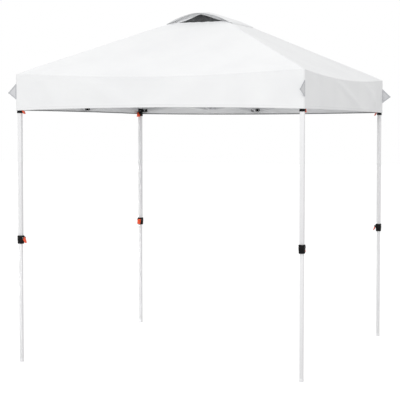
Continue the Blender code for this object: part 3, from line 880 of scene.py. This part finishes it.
def valance_out(x, share, side):
    """How far the valance stands out: soft folds that fade out at the eave and at the corners."""
    edge = smoothstep((EAVE - abs(x)) / 0.13)
    seed = side * 7.3
    drape = 0.5 + 0.5 * sin(x * 8.4 + seed + 1.6 * share)
    ripple = noise.noise(Vector((x * 3.1 + seed, share * 1.1, seed)))
    height = 0.0042 * share * drape + 0.0045 * ripple * share
    for start, end, tall, wide in CREASES[side]:
        middle_x = start + (end - start) * share + 0.04 * sin(3.0 * share + seed)
        fade = sin(pi * unit(share * 0.82 + 0.10))
        height += tall * fade * exp(-((x - middle_x) / (wide * (0.75 + 0.5 * share))) ** 2)
    return edge * smoothstep(share * 6) * height


def hem_height(x, quarter):
    t = min(1.0, abs(x) / EAVE)
    return HEM_Z + HEM_LIFT[quarter] * (1 - t * t)


def cloth_mesh():
    """An empty sheet with the layers its cloth reads: metres along it, and where its stitches are."""
    bm = bmesh.new()
    return bm, (bm.loops.layers.uv.new("Metres"), bm.verts.layers.float.new("stitch"))


def canopy_mesh():
    """Roof and valance as one sheet: four quarters joined along the hips."""
    bm, layers = cloth_mesh()
    places = {}
    # rows down the valance, as shares of its height: close together at the seam and the hem
    shares = [depth / 0.27 for depth in (0.0, 0.004, 0.0095, 0.0125, 0.016)]
    shares += [0.06 + 0.84 * k / 15 for k in range(1, 16)] + [0.915, 0.925, 0.988, 1.0]
    for quarter, turn in enumerate(TURNS):
        grid = []
        for reach in roof_rows():
            radius = CORNER_ROUND * smoothstep((reach - (EAVE - 0.06)) / 0.06)
            row = []
            for x in columns(reach, SPREAD):
                px, py = ring_point(reach, x, radius)
                spot = turn @ Vector((px, py, 0))
                gap = reach - abs(x)
                lift = seam_lift(gap) + seam_lift(EAVE - reach, SEAM, SEAM_PROUD)
                lift += seam_lift(reach - VENT, 0.017, 0.0009)
                z = roof_height(reach, spot.x, spot.y) + lift
                mark = 1.0 if 0.003 < gap < 0.009 or 0.003 < EAVE - reach < 0.010 else 0.0
                row.append(((spot.x, spot.y, z), (x, -reach), mark))
            grid.append(row)
        for share in shares:
            row = []
            for x in columns(EAVE, SPREAD):
                px, py = ring_point(EAVE, x, CORNER_ROUND)
                corner = turn @ Vector((px, py, 0))
                gap = EAVE - abs(x)
                top = roof_height(EAVE, corner.x, corner.y)
                low = hem_height(x, quarter)
                z = top + (low - top) * share
                out = valance_out(x, share, quarter)
                depth = (top - low) * share
                low_gap = (top - low) * (1 - share)
                out += seam_lift(depth, SEAM, SEAM_PROUD) + seam_lift(low_gap, 0.024, 0.0006)
                out += seam_lift(gap, 0.010, 0.0010)
                away = Vector((px, py, 0))
                way = Vector((0, -1, 0))
                if gap < CORNER_ROUND:
                    hub_x = copysign(EAVE - CORNER_ROUND, px)
                    way = (away - Vector((hub_x, CORNER_ROUND - EAVE, 0))).normalized()
                spot = turn @ (away + way * out)
                mark = 1.0 if 0.003 < gap < 0.009 or 0.017 < low_gap < 0.0235 else 0.0
                row.append(((spot.x, spot.y, z + (0.0004 if share == 0 else 0.0)), (x, -EAVE - depth), mark))
            grid.append(row)
        sheet_grid(bm, grid, layers, places)
    return bm


def on_top(obj):
    """Cloth on the top: as the frame folds, a point follows each of the four legs by how near it is."""
    for corner, (sx, sy) in CORNERS.items():
        group = obj.vertex_groups.new(name=f"with_leg_{corner}")
        for vert in obj.data.vertices:
            nearness = unit((1 + sx * vert.co.x / EAVE) / 2) * unit((1 + sy * vert.co.y / EAVE) / 2)
            group.add([vert.index], nearness, "REPLACE")
        mod = obj.modifiers.new(f"with_leg_{corner}", "HOOK")
        mod.object = frame["bodies"][f"leg_{corner}"]
        mod.vertex_group = group.name
        mod.falloff_type = "NONE"
        mod.matrix_inverse = Matrix.Identity(4)
    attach(obj, "top")


def cap_height(x, y, reach):
    t = min(abs(x), abs(y)) / max(reach, 1e-6)
    u = reach / CAP
    hip = CAP_TOP + (CAP_CORNER_Z - CAP_TOP) * u
    dome = 0.006 * (exp(-(u / 0.16) ** 2) - 1) + 0.006
    soft = 0.0010 * noise.noise(Vector((x * 9, y * 9, 8.0))) * smoothstep(u * 3)
    rise = CAP_ARCH * (1 - t ** 1.75) if abs(y) >= abs(x) else CAP_SIDE_RISE * (1 - t * t)
    return hip + rise * u - dome + soft - 0.0008


def sheet_grid(bm, rows, layers, places=None):
    """Faces between rows of (point, uv, mark). Rows that meet at their ends share points through places."""
    metres, stitch = layers
    made = []
    for row in rows:
        line = []
        for number, (co, uv, mark) in enumerate(row):
            key = tuple(round(c, 5) for c in co)
            if places and number in (0, len(row) - 1) and key in places:
                vert = places[key]
            else:
                vert = bm.verts.new(co)
                vert[stitch] = mark
                if places is not None:
                    places[key] = vert
            line.append((vert, uv))
        made.append(line)
    for above, below in zip(made, made[1:]):
        for i in range(len(above) - 1):
            corners = (above[i], below[i], below[i + 1], above[i + 1])
            face = bm.faces.new([c[0] for c in corners])
            for loop, (_, uv) in zip(face.loops, corners):
                loop[metres].uv = uv


def cap_mesh():
    """The vent cap: four arched panels joined at their hips, with a hem."""
    bm, layers = cloth_mesh()
    for quarter, turn in enumerate(TURNS):
        rows = []
        reaches = [0.0015] + [0.0015 + (CAP - 0.0175) * k / 18 for k in range(1, 19)]
        reaches += [CAP - 0.0135, CAP - 0.0115, CAP - 0.002, CAP]
        for reach in reaches:
            scale = min(1.0, reach / CAP_SCALE)
            row = []
            for x in columns(reach, 28, (0.0, 0.004, 0.007, 0.0095), CAP_SCALE):
                px, py = ring_point(reach, x, 0.006 * scale)
                spot = turn @ Vector((px, py, 0))
                gap = reach - abs(x)
                z = cap_height(spot.x, spot.y, reach) + seam_lift(gap, 0.007 * scale, 0.0009)
                z += seam_lift(CAP - reach, SEAM, 0.0008)
                if quarter % 2:
                    rest = roof_height(reach, spot.x, spot.y) + 0.0022
                    drop = smoothstep((reach - CAP + 0.030) / 0.030) * smoothstep(gap / 0.06)
                    z -= max(z - rest, 0.0) * drop
                mark = 1.0 if 0.008 < CAP - reach < 0.013 else 0.0
                row.append(((spot.x, spot.y, z), (x, -reach), mark))
            rows.append(row)
        sheet_grid(bm, rows, layers)
    bmesh.ops.remove_doubles(bm, verts=bm.verts[:], dist=0.00002)
    hole = [edge for edge in bm.edges if edge.is_boundary and edge.verts[0].co.xy.length < 0.004]
    bmesh.ops.contextual_create(bm, geom=hole)
    return bm


def vent_profile(share, quarter):
    """The low and high edges of the panel that closes the vent, and the line between netting and cloth."""
    turn = TURNS[quarter]
    foot = turn @ Vector((VENT_FOOT * share, -VENT_FOOT, 0))
    head = turn @ Vector((VENT_HEAD * share, -VENT_HEAD, 0))
    low = roof_height(VENT_FOOT, *foot.xy) - 0.0030
    high = max(low, cap_height(*head.xy, VENT_HEAD) - 0.0040)
    peak = (1 - abs(share)) ** (1.4 if share < 0 else 0.50)
    return low, high, low + (high - low - 0.010 * peak) * (0.25 * (1 - abs(share)) + 0.75 * peak)


def vent_panel(quarters, netting):
    """Upright panels between the roof's edge and the cap: netting below, cloth above it."""
    bm, layers = cloth_mesh()
    for quarter in quarters:
        turn = TURNS[quarter]
        rows = []
        for k in range(9):
            row = []
            for i in range(61):
                share = i / 30 - 1
                low, high, line = vent_profile(share, quarter)
                z = low + (line - low) * k / 8 if netting else line + (high - line) * k / 8
                up = 0.0 if high - low < 1e-6 else (z - low) / (high - low)
                reach = VENT_FOOT + (VENT_HEAD - VENT_FOOT) * up
                push = 0.0030 * sin(i * 0.7) * sin(pi * up)
                spot = turn @ Vector((reach * share, -reach + push, 0))
                row.append(((spot.x, spot.y, z), (reach * share, z), 0.0))
            rows.append(row)
        sheet_grid(bm, rows, layers)
    bmesh.ops.remove_doubles(bm, verts=bm.verts[:], dist=0.00005)
    bmesh.ops.dissolve_degenerate(bm, edges=bm.edges[:], dist=0.00005)
    return bm


def tab(corner, sx, sy):
    """A triangular tie-down tab: cloth with taped edges and a loop of webbing at its tip."""
    quarter = ("fr", "br", "bl", "fl").index(corner)
    way = TURNS[quarter] @ (Matrix.Rotation(-TAB_TURN, 4, "Z") @ Vector((0, -1, 0)))
    side = Vector((-way.y, way.x, 0))
    root = Vector((sx * (EAVE + 0.0004), sy * (EAVE + 0.0004), 0)) - way * 0.0015
    bm = bmesh.new()
    tip = TAB_LENGTH - 0.008
    up = Vector((0, 0, 1))

    def strip(points, width, thick):
        """A flat tape along points in the tab's plane, given as (reach, height)."""
        spots = [root + way * r + up * z for r, z in points]
        sections = []
        for number, spot in enumerate(spots):
            ahead = spots[min(number + 1, len(spots) - 1)] - spots[max(number - 1, 0)]
            across = ahead.cross(side).normalized() * width / 2
            sections.append([spot + across - side * thick, spot + across + side * thick,
                             spot - across + side * thick, spot - across - side * thick])
        loft(bm, sections, 1)

    body = [(0.0, TAB_Z[0] + 0.002), (0.0, TAB_Z[1] - 0.002),
            (tip, TAB_TIP_Z + 0.003), (tip, TAB_TIP_Z - 0.003)]
    loft(bm, [[root + way * r + up * z + side * depth for r, z in body] for depth in (-0.0005, 0.0005)])
    for start in (TAB_Z[0] + 0.005, TAB_Z[1] - 0.005):
        edge = [(tip * k / 6, start + (TAB_TIP_Z - start) * k / 6) for k in range(7)]
        strip(edge, 0.011, 0.0010)
    strip([(0.0015, TAB_Z[0]), (0.0015, TAB_Z[1])], 0.009, 0.0011)
    loop = []
    for k in range(17):
        a = radians(330 - 300 * k / 16)
        loop.append((tip + 0.0010 - 0.0055 * cos(a), TAB_TIP_Z + 0.0055 * sin(a)))
    strip(loop, 0.0032, 0.0014)
    on_top(piece(f"tie_tab_{corner}", bm, (TAB_CLOTH, WEBBING)))


def hem_shade_strip():
    """A dark grey strip of painted shade inside the lower hem, all the way round."""
    bm, layers = cloth_mesh()
    for quarter, turn in enumerate(TURNS):
        rows = []
        for up in (0.0006, 0.0030, 0.0065, 0.0090):
            row = []
            for x in columns(EAVE - 0.0013, SPREAD):
                z = hem_height(x, quarter)
                corner = turn @ Vector((*ring_point(EAVE, x, CORNER_ROUND), 0))
                share = 1 - up / (roof_height(EAVE, corner.x, corner.y) - z)
                out = valance_out(x, share, quarter) + 0.0004
                px, py = ring_point(EAVE - 0.0013, x, 0.0067)
                spot = turn @ Vector((px, py - out, 0))
                row.append(((spot.x, spot.y, z + up), (x, z + up), 0.0))
            rows.append(row)
        sheet_grid(bm, rows, layers)
    bmesh.ops.remove_doubles(bm, verts=bm.verts[:], dist=0.0001)
    return bm


def canopy():
    top = piece("canopy_sheet", canopy_mesh(), (FABRIC,), 50)
    cap = piece("vent_cap", cap_mesh(), (CAP_FABRIC,), 50)
    net = piece("vent_netting", vent_panel((0, 2), True), (NET,), 60)
    flap = piece("vent_gusset", vent_panel((0, 2), False), (CAP_FABRIC,), 60)
    # tape here is the dark strip of painted shade inside the hem
    tape = piece("hem_shade_strip", hem_shade_strip(), (HEM_SHADE_PAINT,), 60)
    for obj, thick in ((top, CLOTH), (cap, CLOTH), (net, NET_CLOTH), (flap, NET_CLOTH), (tape, HEM_SHADE_THICK)):
        on_top(obj)
        obj.modifiers.new("cloth_thickness", "SOLIDIFY").thickness = thick
    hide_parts("canopy_top")
    for corner, (sx, sy) in CORNERS.items():
        tab(corner, sx, sy)


scissors()
hubs()
legs()
peak_pole()
canopy()


# ---- studio ----
def seen_or_lighting(tree, seen, lighting, socket):
    """One strength where the camera sees it, another where it lights the object."""
    rays = tree.nodes.new("ShaderNodeLightPath")
    level = tree.nodes.new("ShaderNodeMapRange")
    level.inputs["To Min"].default_value = lighting
    level.inputs["To Max"].default_value = seen
    tree.links.new(rays.outputs["Is Camera Ray"], level.inputs["Value"])
    tree.links.new(level.outputs["Result"], socket)


def floor():
    kit = Nodes("studio_floor")
    drift = kit.noise(0.6, 2.0)
    tone = kit.ramp(drift, "Fac", ((0.3, (0.62,) * 3), (0.7, (0.64,) * 3)))
    kit.paint(tone)
    seen_or_lighting(kit.tree, 0.52, 0.10, kit.shader.inputs["Emission Strength"])
    kit.set(Roughness=0.9, Specular_IOR_Level=0.1)
    kit.shader.inputs["Emission Color"].default_value = (1, 1, 1, 1)
    bm = bmesh.new()
    bmesh.ops.create_grid(bm, x_segments=8, y_segments=8, size=60.0)
    obj = piece("studio_floor", bm, (kit.mat,))
    obj.location.z = -0.0005


def light(name, location, target, size, power, spread=180):
    data = bpy.data.lights.new(name, "AREA")
    data.shape, data.size, data.energy = "DISK", size, power
    data.spread = radians(spread)
    obj = bpy.data.objects.new(name, data)
    bpy.context.scene.collection.objects.link(obj)
    obj.location = location
    obj.rotation_euler = (Vector(target) - Vector(location)).to_track_quat("-Z", "Y").to_euler()


def studio():
    floor()
    world = bpy.data.worlds.new("studio")
    bpy.context.scene.world = world
    world.use_nodes = True
    tree = world.node_tree
    sky = tree.nodes["Background"]
    sky.inputs["Color"].default_value = (1, 1, 1, 1)
    # a white backdrop is seen, and a softer light falls on the canopy
    seen_or_lighting(tree, 1.0, 0.84, sky.inputs["Strength"])
    light("key", (2.1, -10.0, 8.4), (0, 0, 2.2), 4.0, 346)
    light("fill", (-5.5, -5.0, 0.7), (-0.9, 1.2, 0.35), 1.6, 4.5, 30)
    data = bpy.data.cameras.new("camera")
    data.lens = 118.4
    data.clip_end = 200.0
    camera = bpy.data.objects.new("camera", data)
    bpy.context.scene.collection.objects.link(camera)
    camera.location = (4.082, -10.617, 1.888)
    camera.rotation_euler = (radians(86.99), 0.0, radians(21.48))
    bpy.context.scene.camera = camera
    bpy.context.scene.view_settings.view_transform = "Standard"


studio()
